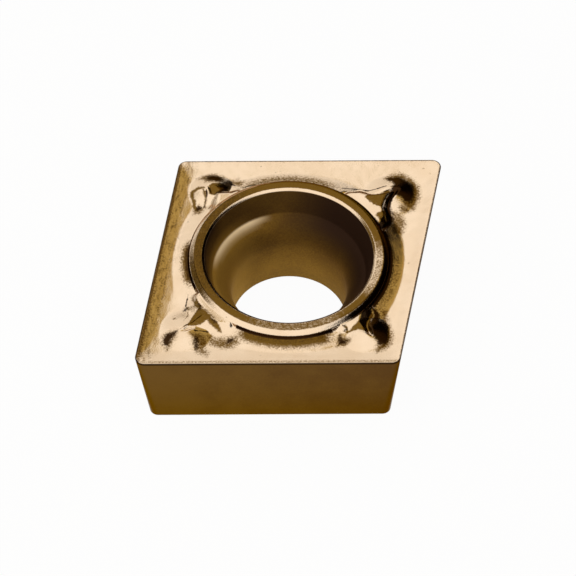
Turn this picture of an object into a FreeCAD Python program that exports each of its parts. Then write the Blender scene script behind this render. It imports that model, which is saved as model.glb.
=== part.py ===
import FreeCAD, Part
import math
import os
import Sketcher

# One pressed and sintered cutting insert: a rhombic plate with sloping flanks, a moulded
# chipbreaker on its top face and a hole for the countersunk head of a clamping screw.
# Millimetres, +Z up. The origin is on the hole's axis, in the flat face that sits in the
# holder's pocket. The front cutting edge runs along X.

SIZES = {
    # the plate
    "inscribed_circle": 6.35,
    "corner_angle": 80,
    "plate_thickness": 2.38,
    "relief_angle": 7,
    "nose_radius": 0.22,
    # the rake face, from the honed edge down to the floor of the chip groove
    "edge_land": 0.045,
    "rake_width": 0.33,
    "rake_angle": 12,
    "groove_corner_radius": 0.3,
    # the bead around the hole: a narrow chamfer at the rim, a level crest, a bevel and a steep wall
    "rim_radius": 2.06,
    "rim_chamfer_width": 0.068,
    "rim_chamfer_drop": 0.037,
    "bead_height": 0.212,
    "bead_crest_width": 0.177,
    "bead_rounding": 0.05,
    "bead_bevel_width": 0.125,
    "bead_bevel_drop": 0.1,
    "bead_wall_lean": 0.03,
    # the low cone that falls from the foot of that wall to the floor of the groove
    "collar_width": 0.31,
    "collar_rise": 0.085,
    # the hole, from the rim down
    "wall_depth": 0.45,
    "wall_foot_radius": 1.88,
    "ledge_width": 0.05,
    "ledge_drop": 0.02,
    "seat_depth": 1.22,
    "screw_hole_radius": 1.4,
    "mouth_chamfer": 0.05,
    # the wedge-shaped pads that point into the corners, each place measured out from the bead's foot
    "pad_height": 0.13,
    "pad_wall": 0.11,
    "moat_width": 0.16,
    "moat_depth": 0.03,
    "sharp_pad_length": 0.95,
    "sharp_pad_neck": 0.41,
    "sharp_pad_neck_half": 0.27,
    "sharp_pad_shoulder": 0.29,
    "sharp_pad_shoulder_half": 0.52,
    "sharp_pad_tail": 0.03,
    "sharp_pad_tail_half": 0.74,
    "blunt_pad_length": 0.61,
    "blunt_pad_neck": 0.33,
    "blunt_pad_neck_half": 0.19,
    "blunt_pad_shoulder": 0.21,
    "blunt_pad_shoulder_half": 0.42,
    "blunt_pad_tail": 0.01,
    "blunt_pad_tail_half": 0.60,
    # the low mounds under the tips of the pads, each centred a little short of the tip
    "mound_height": 0.08,
    "sharp_mound_setback": 0.12,
    "sharp_mound_radius": 0.62,
    "blunt_mound_setback": 0.13,
    "blunt_mound_radius": 0.54,
    # how far what is added or cut runs on past the face that it starts from
    "overrun": 0.3,
}

# Heights and radii that follow from the sizes
EDGE = "dims.plate_thickness"
IN_RADIUS = "dims.inscribed_circle / 2"
GROOVE = f"{EDGE} - (dims.rake_width - dims.edge_land) * tan(dims.rake_angle)"
COLLAR_TOP = f"{GROOVE} + dims.collar_rise"
MOAT_FLOOR = f"{GROOVE} - dims.moat_depth"
ROOT = f"{GROOVE} - dims.overrun"
CREST = f"{EDGE} + dims.bead_height"
PAD_TOP = f"{EDGE} + dims.pad_height"
MOUND_TOP = f"{EDGE} + dims.mound_height"
RIM_TOP = f"{CREST} - dims.rim_chamfer_drop"
BEVEL_FOOT = f"{CREST} - dims.bead_bevel_drop"
CREST_IN = "dims.rim_radius + dims.rim_chamfer_width"
CREST_OUT = f"{CREST_IN} + dims.bead_crest_width"
BEVEL_OUT = f"{CREST_OUT} + dims.bead_bevel_width"
BEAD_FOOT = f"{BEVEL_OUT} + dims.bead_wall_lean"
COLLAR_FOOT = f"{BEAD_FOOT} + dims.collar_width"
LEDGE_RADIUS = "dims.wall_foot_radius - dims.ledge_width"
LEDGE = f"{EDGE} - dims.wall_depth"
SEAT_END = f"{EDGE} - dims.seat_depth"

doc = FreeCAD.newDocument("carbide_insert")
dims = doc.addObject("Spreadsheet::Sheet", "dims")
for row, (word, size) in enumerate(SIZES.items(), start=1):
    dims.set(f"A{row}", str(size))
    dims.setAlias(f"A{row}", word)
doc.recompute()

body = doc.addObject("PartDesign::Body", "insert_body")
body.Label = "insert_body"
origin = {feature.Role: feature for feature in body.Origin.OriginFeatures}


def value(expression):
    return float(dims.evalExpression(expression))


def add_sketch(name, plane, **offsets):
    """A sketch on one of the body's own planes, with parts of its place bound to the sizes."""
    sketch = body.newObject("Sketcher::SketchObject", name)
    sketch.AttachmentSupport = [(origin[plane], "")]
    sketch.MapMode = "FlatFace"
    for part, expression in offsets.items():
        sketch.setExpression(f"AttachmentOffset.{part.replace('_', '.')}", expression)
    doc.recompute()
    return sketch


def constrain(sketch, rules, sizes):
    """Fixes a sketch by plain rules and by named dimensions that follow expressions."""
    first = len(sketch.Constraints) + len(rules)
    sketch.addConstraint(rules + [constraint for constraint, expression in sizes.values()])
    for index, (name, (constraint, expression)) in enumerate(sizes.items(), start=first):
        sketch.renameConstraint(index, name)
        sketch.setExpression(f"Constraints.{name}", expression)
    doc.recompute()


def rhombus_corners(in_radius):
    """The corners of a rhombus around the hole's axis, the one at the front left first."""
    angle = math.radians(value("dims.corner_angle"))
    side = 2 * value(in_radius) / math.sin(angle)
    corners = []
    for u, v in ((-0.5, -0.5), (0.5, -0.5), (0.5, 0.5), (-0.5, 0.5)):
        x = side * (u + v * math.cos(angle))
        corners.append(FreeCAD.Vector(x, side * v * math.sin(angle), 0))
    return corners


def fix_rhombus(sketch, lines, rules, in_radius, sizes=None):
    """Holds four lines as a rhombus around the hole's axis, with its front side along X."""
    reach = value(in_radius)
    circle = sketch.addGeometry(Part.Circle(FreeCAD.Vector(), FreeCAD.Vector(0, 0, 1), reach), True)
    rules += [Sketcher.Constraint("Tangent", line, circle) for line in lines]
    rules.append(Sketcher.Constraint("Coincident", circle, 3, -1, 1))
    rules.append(Sketcher.Constraint("Horizontal", lines[0]))
    rules.append(Sketcher.Constraint("Parallel", lines[0], lines[2]))
    rules.append(Sketcher.Constraint("Parallel", lines[1], lines[3]))
    slant = Sketcher.Constraint("Angle", lines[1], math.radians(value("dims.corner_angle")))
    constrain(sketch, rules, {
        "slant": (slant, "dims.corner_angle"),
        "reach": (Sketcher.Constraint("Radius", circle, reach), in_radius),
        **(sizes or {}),
    })


def sharp_rhombus(name, height, in_radius):
    """A level rhombus around the hole's axis."""
    sketch = add_sketch(name, "XY_Plane", Base_z=height)
    corners = rhombus_corners(in_radius)
    for i in range(4):
        sketch.addGeometry(Part.LineSegment(corners[i], corners[(i + 1) % 4]))
    rules = [Sketcher.Constraint("Coincident", i, 2, (i + 1) % 4, 1) for i in range(4)]
    fix_rhombus(sketch, (0, 1, 2, 3), rules, in_radius)
    return sketch


def rhombus(name, height, in_radius, corner_radius):
    """A level rhombus with rounded corners, around the hole's axis."""
    sketch = add_sketch(name, "XY_Plane", Base_z=height)
    corners = rhombus_corners(in_radius)
    radius = value(corner_radius)
    half = math.radians(value("dims.corner_angle")) / 2
    halves = [half, math.pi / 2 - half] * 2
    ends = []
    for i in range(4):
        along = FreeCAD.Vector(corners[(i + 1) % 4] - corners[i]).normalize()
        first = corners[i] + along * (radius / math.tan(halves[i]))
        last = corners[(i + 1) % 4] - along * (radius / math.tan(halves[(i + 1) % 4]))
        ends.append((first, last))
    for i in range(4):
        following = (i + 1) % 4
        out = FreeCAD.Vector(corners[following]).normalize()
        middle = corners[following] - out * (radius / math.sin(halves[following]) - radius)
        sketch.addGeometry(Part.LineSegment(*ends[i]))
        sketch.addGeometry(Part.Arc(ends[i][1], middle, ends[following][0]))
    rules = [Sketcher.Constraint("Tangent", i, 2, (i + 1) % 8, 1) for i in range(8)]
    rules += [Sketcher.Constraint("Equal", 1, arc) for arc in (3, 5, 7)]
    fix_rhombus(sketch, (0, 2, 4, 6), rules, in_radius, {
        "corner": (Sketcher.Constraint("Radius", 1, radius), corner_radius),
    })
    return sketch


def loft(kind, name, sketches):
    """A solid with straight sides through level outlines, added or cut away."""
    feature = body.newObject(f"PartDesign::{kind}Loft", name)
    feature.Profile = (sketches[0], [""])
    feature.Sections = [(sketch, [""]) for sketch in sketches[1:]]
    feature.Ruled = True
    doc.recompute()
    return feature


def turned(kind, name, sketch):
    """A round solid around the upright line of its sketch, added or cut away."""
    feature = body.newObject(f"PartDesign::{kind}", name)
    feature.Profile = (sketch, [""])
    feature.ReferenceAxis = (sketch, ["V_Axis"])
    feature.Angle = 360
    doc.recompute()
    return feature


def profile(name, points, arc=None, **offsets):
    """A closed outline around the upright axis, each point bound by its distance out and height.

    The run that starts at the point numbered arc is a round one. It ends level at the axis, or
    runs smoothly into the straight run that follows it.
    """
    sketch = add_sketch(name, "XZ_Plane", **offsets)
    spots = [FreeCAD.Vector(value(out), value(up), 0) for out, up in points]
    count = len(spots)
    for i, spot in enumerate(spots):
        following = spots[(i + 1) % count]
        if i == arc:
            sketch.addGeometry(round_run(spot, following))
        else:
            sketch.addGeometry(Part.LineSegment(spot, following))
    rules = []
    sizes = {}
    for i, (out, up) in enumerate(points):
        smooth = i == arc and spots[(i + 1) % count].x > 0
        rules.append(Sketcher.Constraint("Tangent" if smooth else "Coincident", i, 2, (i + 1) % count, 1))
        if spots[i].x == 0:
            rules.append(Sketcher.Constraint("PointOnObject", i, 1, -2))
        else:
            sizes[f"out_{i}"] = (Sketcher.Constraint("DistanceX", -1, 1, i, 1, spots[i].x), out)
        sizes[f"up_{i}"] = (Sketcher.Constraint("DistanceY", -1, 1, i, 1, spots[i].y), up)
    if arc is not None and spots[(arc + 1) % count].x == 0:
        rules.append(Sketcher.Constraint("PointOnObject", arc, 3, -2))
    constrain(sketch, rules, sizes)
    return sketch


def round_run(start, end):
    """An arc from start that ends level where end is on the axis, and upright elsewhere."""
    out, up = abs(start.x - end.x), abs(start.y - end.y)
    if end.x == 0:
        radius = (out**2 + up**2) / (2 * up)
        centre = FreeCAD.Vector(0, end.y - radius, 0)
    else:
        radius = (out**2 + up**2) / (2 * out)
        centre = FreeCAD.Vector(end.x + radius, end.y, 0)
    chord = FreeCAD.Vector((start + end) / 2 - centre).normalize()
    return Part.Arc(start, centre + chord * radius, end)


def grown(spots, distance):
    """The corners of an outline whose runs have all moved outwards by the same distance."""
    count = len(spots)
    moved = []
    for i in range(count):
        before = FreeCAD.Vector(spots[i] - spots[i - 1]).normalize()
        after = FreeCAD.Vector(spots[(i + 1) % count] - spots[i]).normalize()
        half = FreeCAD.Vector(before + after).normalize()
        out = FreeCAD.Vector(-half.y, half.x, 0)
        moved.append(spots[i] + out * (distance / half.dot(after)))
    return moved


def wedge(name, turn, height, tip, steps, margin=None):
    """A level outline that points along its own Y axis: a tip, then pairs of points on both sides.

    With a margin, the outline runs alongside that shape, further out by the margin.
    """
    sketch = add_sketch(name, "XY_Plane", Base_z=height, Rotation_Angle=turn)
    right = [FreeCAD.Vector(value(half), value(reach), 0) for half, reach in steps]
    left = [FreeCAD.Vector(-spot.x, spot.y, 0) for spot in reversed(right)]
    spots = [FreeCAD.Vector(0, value(tip), 0)] + right + left
    count = len(spots)
    for i, spot in enumerate(spots):
        sketch.addGeometry(Part.LineSegment(spot, spots[(i + 1) % count]), margin is not None)
    rules = [Sketcher.Constraint("Coincident", i, 2, (i + 1) % count, 1) for i in range(count)]
    rules.append(Sketcher.Constraint("PointOnObject", 0, 1, -2))
    sizes = {"tip": (Sketcher.Constraint("DistanceY", -1, 1, 0, 1, spots[0].y), tip)}
    for i, (half, reach) in enumerate(steps, start=1):
        sizes[f"half_{i}"] = (Sketcher.Constraint("DistanceX", -1, 1, i, 1, spots[i].x), half)
        sizes[f"reach_{i}"] = (Sketcher.Constraint("DistanceY", -1, 1, i, 1, spots[i].y), reach)
        rules.append(Sketcher.Constraint("Symmetric", i, 1, count - i, 1, -2))
    constrain(sketch, rules, sizes)
    if margin is not None:
        run_alongside(sketch, spots, margin)
    return sketch


def run_alongside(sketch, spots, margin):
    """A second outline around the first one in the sketch, each run at the same distance from it."""
    count = len(spots)
    distance = value(margin)
    outer = grown(spots, distance)
    rules = []
    sizes = {}
    for i in range(count):
        sketch.addGeometry(Part.LineSegment(outer[i], outer[(i + 1) % count]))
        rules.append(Sketcher.Constraint("Parallel", i, count + i))
        gap = Sketcher.Constraint("Distance", count + i, 1, i, abs(distance))
        sizes[f"margin_{i}"] = (gap, f"abs({margin})")
    for i in range(count):
        rules.append(Sketcher.Constraint("Coincident", count + i, 2, count + (i + 1) % count, 1))
    constrain(sketch, rules, sizes)


def both_ends(name, features):
    """The same features again at the opposite corner, half a turn around the hole's axis."""
    pattern = body.newObject("PartDesign::PolarPattern", name)
    pattern.Originals = features
    pattern.Axis = (origin["Z_Axis"], [""])
    pattern.Angle = 360
    pattern.Occurrences = 2
    body.Tip = pattern
    doc.recompute()
    return pattern


# The plate narrows from the cutting edge down to its seat, because its flanks have relief.
plate = body.newObject("PartDesign::Pad", "plate")
plate.Profile = (sharp_rhombus("edge_outline", EDGE, IN_RADIUS), [""])
plate.Reversed = True
plate.setExpression("Length", EDGE)
doc.recompute()
flanks = []
for number, face in enumerate(plate.Shape.Faces, start=1):
    upright = abs(face.normalAt(0, 0).z)
    if upright < 0.5:
        flanks.append(f"Face{number}")
    elif face.CenterOfMass.z > value(EDGE) / 2:
        top = f"Face{number}"
relief = body.newObject("PartDesign::Draft", "relief")
relief.Base = (plate, flanks)
relief.NeutralPlane = (plate, [top])
relief.Reversed = True
relief.setExpression("Angle", "dims.relief_angle")
doc.recompute()

# The flanks meet in rounded corners, from the cutting edge down to the seat.
corner_edges = []
for number, edge in enumerate(relief.Shape.Edges, start=1):
    if edge.BoundBox.ZLength > value(EDGE) / 2:
        corner_edges.append(f"Edge{number}")
nose = body.newObject("PartDesign::Fillet", "nose")
nose.Base = (relief, corner_edges)
nose.setExpression("Radius", "dims.nose_radius")
doc.recompute()

# The rake face falls from a narrow honed land to the floor of the chip groove.
rake_rim = rhombus("rake_rim", EDGE, f"{IN_RADIUS} - dims.edge_land", "dims.nose_radius - dims.edge_land")
rake_foot = rhombus("rake_foot", GROOVE, f"{IN_RADIUS} - dims.rake_width", "dims.groove_corner_radius")
loft("Subtractive", "rake", [rake_rim, rake_foot])

# A low round collar turns the chip upwards again in front of the bead.
collar = profile(
    "collar_outline",
    [
        ("0", ROOT),
        (COLLAR_FOOT, ROOT),
        (COLLAR_FOOT, GROOVE),
        (BEAD_FOOT, COLLAR_TOP),
        ("0", COLLAR_TOP),
    ],
)
turned("Revolution", "collar", collar)

# A round mound rises under the tip of each pad. The slanting corners are half the corner angle
# away from X on one diagonal and at a right angle to that on the other.
CORNERS = {
    "sharp": "dims.corner_angle / 2 - 90",
    "blunt": "dims.corner_angle / 2",
}
mounds = []
for corner, turn in CORNERS.items():
    reach = f"({BEAD_FOOT} + dims.{corner}_pad_length - dims.{corner}_mound_setback)"
    radius = f"dims.{corner}_mound_radius"
    dome = profile(
        f"{corner}_mound_outline",
        [("0", ROOT), (radius, ROOT), (radius, GROOVE), ("0", MOUND_TOP)],
        arc=2,
        Base_x=f"{reach} * cos({turn} + 90)",
        Base_z=f"-{reach} * sin({turn} + 90)",
    )
    mounds.append(turned("Revolution", f"{corner}_mound", dome))
both_ends("mounds", mounds)

# Each pad stands in a moat of its own that widens upwards from the outline of the pad's foot.
pads = []
for corner, turn in CORNERS.items():
    size = f"dims.{corner}_pad"
    shape = (
        f"{BEAD_FOOT} + {size}_length",
        [
            (f"{size}_neck_half", f"{BEAD_FOOT} + {size}_neck"),
            (f"{size}_shoulder_half", f"{BEAD_FOOT} + {size}_shoulder"),
            (f"{size}_tail_half", f"{BEAD_FOOT} + {size}_tail"),
        ],
    )
    base = wedge(f"{corner}_pad_foot", turn, MOAT_FLOOR, *shape)
    brim = wedge(f"{corner}_moat_brim", turn, PAD_TOP, *shape, margin="dims.moat_width")
    top = wedge(f"{corner}_pad_top", turn, PAD_TOP, *shape, margin="-dims.pad_wall")
    pads.append(loft("Subtractive", f"{corner}_moat", [base, brim]))
    pads.append(loft("Additive", f"{corner}_pad", [base, top]))
both_ends("pads", pads)

# The bead is a ring that stands above the cutting edge, with a softly rounded crest.
bead = profile(
    "bead_outline",
    [
        ("0", ROOT),
        (BEAD_FOOT, ROOT),
        (BEAD_FOOT, COLLAR_TOP),
        (BEVEL_OUT, BEVEL_FOOT),
        (CREST_OUT, CREST),
        (CREST_IN, CREST),
        ("dims.rim_radius", RIM_TOP),
        ("0", RIM_TOP),
    ],
)
ring = turned("Revolution", "bead", bead)
crest_edges = []
for number, rim in enumerate(ring.Shape.Edges, start=1):
    if isinstance(rim.Curve, Part.Circle) and abs(rim.CenterOfMass.z - value(CREST)) < 1e-6:
        crest_edges.append(f"Edge{number}")
rounding = body.newObject("PartDesign::Fillet", "bead_rounding")
rounding.Base = (ring, crest_edges)
rounding.setExpression("Radius", "dims.bead_rounding")
doc.recompute()

# The hole: a steep wall, a narrow ledge, the round seat for the screw's head and the bore.
hole = profile(
    "hole_outline",
    [
        ("0", f"{CREST} + dims.overrun"),
        ("dims.rim_radius", f"{CREST} + dims.overrun"),
        ("dims.rim_radius", RIM_TOP),
        ("dims.wall_foot_radius", LEDGE),
        (LEDGE_RADIUS, f"{LEDGE} - dims.ledge_drop"),
        ("dims.screw_hole_radius", SEAT_END),
        ("dims.screw_hole_radius", "dims.mouth_chamfer"),
        ("dims.screw_hole_radius + dims.mouth_chamfer", "0"),
        ("dims.screw_hole_radius + dims.mouth_chamfer", "-dims.overrun"),
        ("0", "-dims.overrun"),
    ],
    arc=4,
)
turned("Groove", "hole", hole)

for item in doc.Objects:
    if "Invalid" in item.State or "Error" in item.State:
        raise RuntimeError(f"{item.Name} failed: {item.State}")
if body.Shape.isNull() or not body.Shape.isValid():
    raise RuntimeError("the insert's solid is not valid")
os.makedirs("parts", exist_ok=True)
body.Shape.exportStep(f"parts/{body.Label}.step")
print(body.Label, "volume", round(body.Shape.Volume, 3), "solids", len(body.Shape.Solids))
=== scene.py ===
# %% [markdown]
# # A small cutting insert in Blender
# The part is a rhombic cutting insert, pressed and sintered from hard metal and coated in a
# bronze tone. This lesson builds what the eye sees of it around a fixed model of its real
# shape: first the camera, the floor and the lamps, then the body with its flanks and its
# hole, then the moulded chipbreaker on top, and last the coating.

import math
from collections import namedtuple

import bpy
import numpy as np
from mathutils import Matrix, Vector, noise


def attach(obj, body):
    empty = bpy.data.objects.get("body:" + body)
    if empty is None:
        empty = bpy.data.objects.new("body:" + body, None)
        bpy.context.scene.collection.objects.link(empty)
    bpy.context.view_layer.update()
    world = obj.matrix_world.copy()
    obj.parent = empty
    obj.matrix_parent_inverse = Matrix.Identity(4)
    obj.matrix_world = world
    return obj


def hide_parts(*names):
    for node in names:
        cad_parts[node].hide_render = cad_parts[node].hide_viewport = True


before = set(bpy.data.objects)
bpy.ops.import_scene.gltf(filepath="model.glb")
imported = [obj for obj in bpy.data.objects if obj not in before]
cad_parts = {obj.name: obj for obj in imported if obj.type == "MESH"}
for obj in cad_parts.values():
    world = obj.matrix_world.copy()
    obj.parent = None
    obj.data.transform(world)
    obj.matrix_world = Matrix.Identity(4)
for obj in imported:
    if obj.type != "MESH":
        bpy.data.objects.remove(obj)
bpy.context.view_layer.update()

# %% [markdown]
# ## Sizes
# The real insert is drawn in millimetres, and so is everything below. Blender works in
# metres, so one factor turns a drawn size into a length in the scene. The hole's axis is
# the upright axis through the origin, and the seat face lies at height 0. A bead runs
# around the hole: its outer side is written as radii and heights above the cutting edge,
# from the level crest over a bevel and down a steep wall.

# %% Sizes of the insert
MM = 0.001
THICKNESS = 2.38
IN_RADIUS = 3.175
CORNER_ANGLE = math.radians(80)
RELIEF_ANGLE = math.radians(7)
NOSE_RADIUS = 0.22
HONE = 0.03
FOOT_ROUND = 0.03
CREST_HEIGHT = 0.212
CREST_RADIUS = 2.27
BEAD = [
    (2.29, CREST_HEIGHT), (2.305, 0.209), (2.325, 0.199), (2.42, 0.121),
    (2.432, 0.105), (2.458, 0.02), (2.6, -0.9),
]
print("side of the rhombus:", round(2 * IN_RADIUS / math.sin(CORNER_ANGLE), 3), "mm")

# %% [markdown]
# ## The camera
# The photograph was taken from far away with a long lens, because the front and the back
# edges are almost the same length. The camera stands 51 degrees above the horizon and
# looks along the Y axis. Its place is given in steps along its own right, up and backward
# directions, counted in sides of the rhombus, so it can be shifted without losing its aim.

# %% Camera
SIDE = 6.448
ELEVATION = math.radians(51.186)
YAW = math.radians(-0.168)
ROLL = math.radians(-0.193)
STEPS_IN_SIDES = Vector((-0.00397, -0.10202, 42.932))
lens = bpy.data.cameras.new("camera")
lens.sensor_width = 36
lens.lens = 711.5
lens.clip_start = 0.01
lens.clip_end = 50
camera = bpy.data.objects.new("camera", lens)
bpy.context.scene.collection.objects.link(camera)
aim = Matrix.Rotation(YAW, 4, "Z") @ Matrix.Rotation(math.pi / 2 - ELEVATION, 4, "X")
spot = aim @ STEPS_IN_SIDES * SIDE * MM + Vector((0, 0, THICKNESS * MM))
camera.matrix_world = Matrix.Translation(spot) @ aim @ Matrix.Rotation(ROLL, 4, "Z")
bpy.context.scene.camera = camera
bpy.context.scene.view_settings.view_transform = "Standard"
print("camera stands", round(spot.length, 4), "m away")


# %% [markdown]
# ## Writing materials as sums
# A node material is easier to read as a formula. The small class below wraps one output of
# a node. Adding, subtracting or multiplying two of them makes the Math node that does it,
# and one method makes any other node from its type, its settings and what goes into it.

# %% A small language for materials
class Wire:
    """One output of a node, which can be used in a formula."""

    def __init__(self, tree, socket):
        self.tree = tree
        self.socket = socket

    def node(self, kind, settings=None, inputs=None, output=0):
        """Makes a node: its settings come first, then the values or wires of its sockets."""
        made = self.tree.nodes.new(kind)
        for name, setting in (settings or {}).items():
            setattr(made, name, setting)
        for name, given in (inputs or {}).items():
            if isinstance(given, Wire):
                self.tree.links.new(given.socket, made.inputs[name])
            else:
                made.inputs[name].default_value = given
        return Wire(self.tree, made.outputs[output])

    def maths(self, operation, first, second):
        return self.node("ShaderNodeMath", {"operation": operation}, {0: first, 1: second})

    def __add__(self, other):
        return self.maths("ADD", self, other)

    def __mul__(self, other):
        return self.maths("MULTIPLY", self, other)

    def __sub__(self, other):
        return self.maths("SUBTRACT", self, other)

    def __rsub__(self, other):
        return self.maths("SUBTRACT", other, self)

    __radd__ = __add__
    __rmul__ = __mul__

    def fade(self, low, high):
        """A soft step from 0 to 1 while this value goes from low to high."""
        inputs = {"Value": self, "From Min": low, "From Max": high}
        return self.node("ShaderNodeMapRange", {"interpolation_type": "SMOOTHSTEP"}, inputs)

    def blend(self, first, second):
        """Mixes two colours, with this value as the share of the second."""
        inputs = {"Factor": self, "A": first, "B": second}
        return self.node("ShaderNodeMix", {"data_type": "RGBA"}, inputs, "Result")


def new_material(name):
    """An empty node material, with the wire that its formulas start from."""
    material = bpy.data.materials.new(name)
    material.use_nodes = True
    tree = material.node_tree
    tree.nodes.clear()
    start = tree.nodes.new("ShaderNodeTexCoord")
    return material, Wire(tree, start.outputs["Object"])


def finish_material(material, surface):
    """Leads a finished shader to the material's output."""
    output = material.node_tree.nodes.new("ShaderNodeOutputMaterial")
    material.node_tree.links.new(surface.socket, output.inputs["Surface"])


# %% [markdown]
# ## Floor and backdrop
# The photograph shows the insert on pure white. The floor is a pale matt surface that
# catches light and shadow, and for rays that come from the camera or from a mirror-like
# surface it also glows at strength 1, which is white. So the background turns white
# without more light on the insert. A low ring around it closes the view from the side.

# %% Floor and backdrop
paper, start = new_material("white_paper")
from_camera, from_mirror, from_glass = (
    start.node("ShaderNodeLightPath", output=f"Is {kind} Ray")
    for kind in ("Camera", "Glossy", "Transmission")
)
matt = start.node("ShaderNodeBsdfDiffuse", None, {"Color": (0.86, 0.86, 0.85, 1), "Roughness": 0.5})
glow = start.node("ShaderNodeEmission", None, {"Color": (1, 1, 1, 1), "Strength": 1.0})
share = (from_camera + from_mirror + from_glass) * 0.96
finish_material(paper, start.node("ShaderNodeMixShader", None, {0: share, 1: matt, 2: glow}))

bpy.ops.object.select_all(action="DESELECT")
bpy.ops.mesh.primitive_circle_add(vertices=96, radius=3.0, fill_type="TRIFAN", location=(0, 0, -0.00001))
floor = bpy.context.object
floor.name = "floor"
bpy.ops.object.select_all(action="DESELECT")
bpy.ops.mesh.primitive_cylinder_add(
    vertices=96, radius=0.25, depth=0.0135, end_fill_type="NOTHING", location=(0, 0, 0.00675)
)
backdrop = bpy.context.object
backdrop.name = "backdrop"
for stage in (floor, backdrop):
    stage.data.materials.append(paper)
print("floor and backdrop made")


# %% [markdown]
# ## Lamps
# Coated metal shows what it mirrors more than its own colour, so the lamps decide where
# the insert looks bright. They hang like the faces of one large open box: three pale ones
# overhead, and one each at the front, the left and the back. None lies behind another, so
# nothing mirrors two of them at once and turns whiter than paper. A patch of warm light
# overhead gives the golden tones. A flat lamp looks as bright as a white sheet when its
# power is pi times its area, which makes brightness easy to plan.

# %% Lamps
def soft_box(name, place, facing, size, radiance, colour=(1, 1, 1)):
    """A flat lamp whose face points along a direction. Its power follows from how bright it looks."""
    lamp = bpy.data.lights.new(name, "AREA")
    lamp.shape = "RECTANGLE"
    lamp.size, lamp.size_y = size
    lamp.energy = math.pi * size[0] * size[1] * radiance
    lamp.color = colour
    box = bpy.data.objects.new(name, lamp)
    bpy.context.scene.collection.objects.link(box)
    back = -Vector(facing).normalized()
    across = Vector((0, 0, 1)).cross(back) if abs(back.z) < 0.99 else Vector((1, 0, 0))
    across.normalize()
    turned = Matrix((across, back.cross(across), back)).transposed().to_4x4()
    box.matrix_world = Matrix.Translation(place) @ turned
    box.visible_camera = False


DOWN = (0, 0, -1)
soft_box("overhead", (-0.245, -0.4, 0.5), DOWN, (1.31, 1.0), 1.0)
soft_box("overhead_back", (-0.145, 0.31, 0.5), DOWN, (0.41, 0.42), 1.0)
soft_box("overhead_corner", (-0.475, 0.44, 0.5), DOWN, (0.25, 0.16), 1.0)
soft_box("front", (-0.25, -0.9, 0.26), (0, 1, 0), (1.3, 0.46), 1.0)
soft_box("left", (-0.9, -0.5, 0.26), (1, 0, 0), (0.8, 0.46), 1.0)
soft_box("back", (-0.24, 0.52, 0.31), (0, -1, 0), (0.72, 0.38), 0.85)
soft_box("warm", (0.235, 0.31, 0.5), DOWN, (0.35, 0.42), 0.36, (1, 0.74, 0.24))
print("seven lamps overhead and around")

# %% [markdown]
# ## The dim side of the room
# Metal that mirrors lamps all round looks like plastic, so part of what it mirrors stays
# dark. Two nearly black cards close the box at the right and at the back, and the room
# behind them glows in a dim, warm brown. A world colour is the simplest way to such a room.

# %% Room and cards
world = bpy.data.worlds.new("studio")
world.use_nodes = True
world.node_tree.nodes["Background"].inputs["Color"].default_value = (0.15, 0.1, 0.022, 1)
bpy.context.scene.world = world
black, start = new_material("black_card")
finish_material(black, start.node("ShaderNodeBsdfDiffuse", None, {"Color": (0.03, 0.02, 0.012, 1)}))
for name, place, turn, scale in (
    ("right_card", (0.45, -0.05, 0.4), 0, (0.8, 1.1, 1)),
    ("back_card", (0.295, 0.54, 0.255), math.radians(61.3), (0.51, 0.40, 1)),
):
    bpy.ops.object.select_all(action="DESELECT")
    bpy.ops.mesh.primitive_plane_add(size=1, location=place, rotation=(0, math.pi / 2, turn))
    card = bpy.context.object
    card.name = name
    card.scale = scale
    card.data.materials.append(black)
    card.visible_camera = False
print("two black cards in a dim warm room")


# %% [markdown]
# ## The outline
# The cutting edge is a rhombus with rounded corners. Its points are set closer together
# near the corners, where the moulded details are, and further apart along the sides. A
# circle with the same number of points is added first, and each point is then slid out to
# its place on the rhombus.

# %% Points along the cutting edge
COLUMNS = 780
CORNER_REACH = 1.75
CORNER_WEIGHT = 2.3
NOSE_STEPS = 40
SIDE_STEPS = 200


def rhombus_track():
    """The four sharp corners, and close points along the rounded edge, anticlockwise from the front left."""
    side = 2 * IN_RADIUS / math.sin(CORNER_ANGLE)
    corners = []
    for u, v in ((-0.5, -0.5), (0.5, -0.5), (0.5, 0.5), (-0.5, 0.5)):
        corners.append(Vector((side * (u + v * math.cos(CORNER_ANGLE)), side * v * math.sin(CORNER_ANGLE))))
    track = []
    for i, corner in enumerate(corners):
        half = CORNER_ANGLE / 2 if i % 2 == 0 else math.pi / 2 - CORNER_ANGLE / 2
        outward = corner.normalized()
        centre = corner - outward * (NOSE_RADIUS / math.sin(half))
        turn = math.pi - 2 * half
        first = math.atan2(outward.y, outward.x) - turn / 2
        for step in range(NOSE_STEPS + 1):
            angle = first + turn * step / NOSE_STEPS
            track.append(centre + Vector((math.cos(angle), math.sin(angle))) * NOSE_RADIUS)
        following = corners[(i + 1) % 4]
        start_run = track[-1].copy()
        end_run = following + (corner - following).normalized() * (NOSE_RADIUS / math.tan(math.pi / 2 - half))
        for step in range(1, SIDE_STEPS):
            track.append(start_run.lerp(end_run, step / SIDE_STEPS))
    return corners, np.array(track)


def outline_points(count):
    """Points along the rounded rhombus in millimetres, closer together near the corners."""
    corners, track = rhombus_track()
    closed = np.vstack([track, track[:1]])
    lengths = np.hypot(*np.diff(closed, axis=0).T)
    middles = (closed[1:] + closed[:-1]) / 2
    spread = np.min([np.hypot(*(middles - np.array(corner)).T) for corner in corners], axis=0)
    weights = np.where(spread < CORNER_REACH, CORNER_WEIGHT, 1.0)
    weights = np.convolve(np.r_[weights[-30:], weights, weights[:30]], np.ones(61) / 61, "valid")
    along = np.r_[0, np.cumsum(lengths * weights)]
    wanted = np.linspace(0, along[-1], count, endpoint=False)
    return np.c_[np.interp(wanted, along, closed[:, 0]), np.interp(wanted, along, closed[:, 1])]


edge_points = outline_points(COLUMNS)
print(COLUMNS, "points, from", np.round(edge_points[0], 3))


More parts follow.
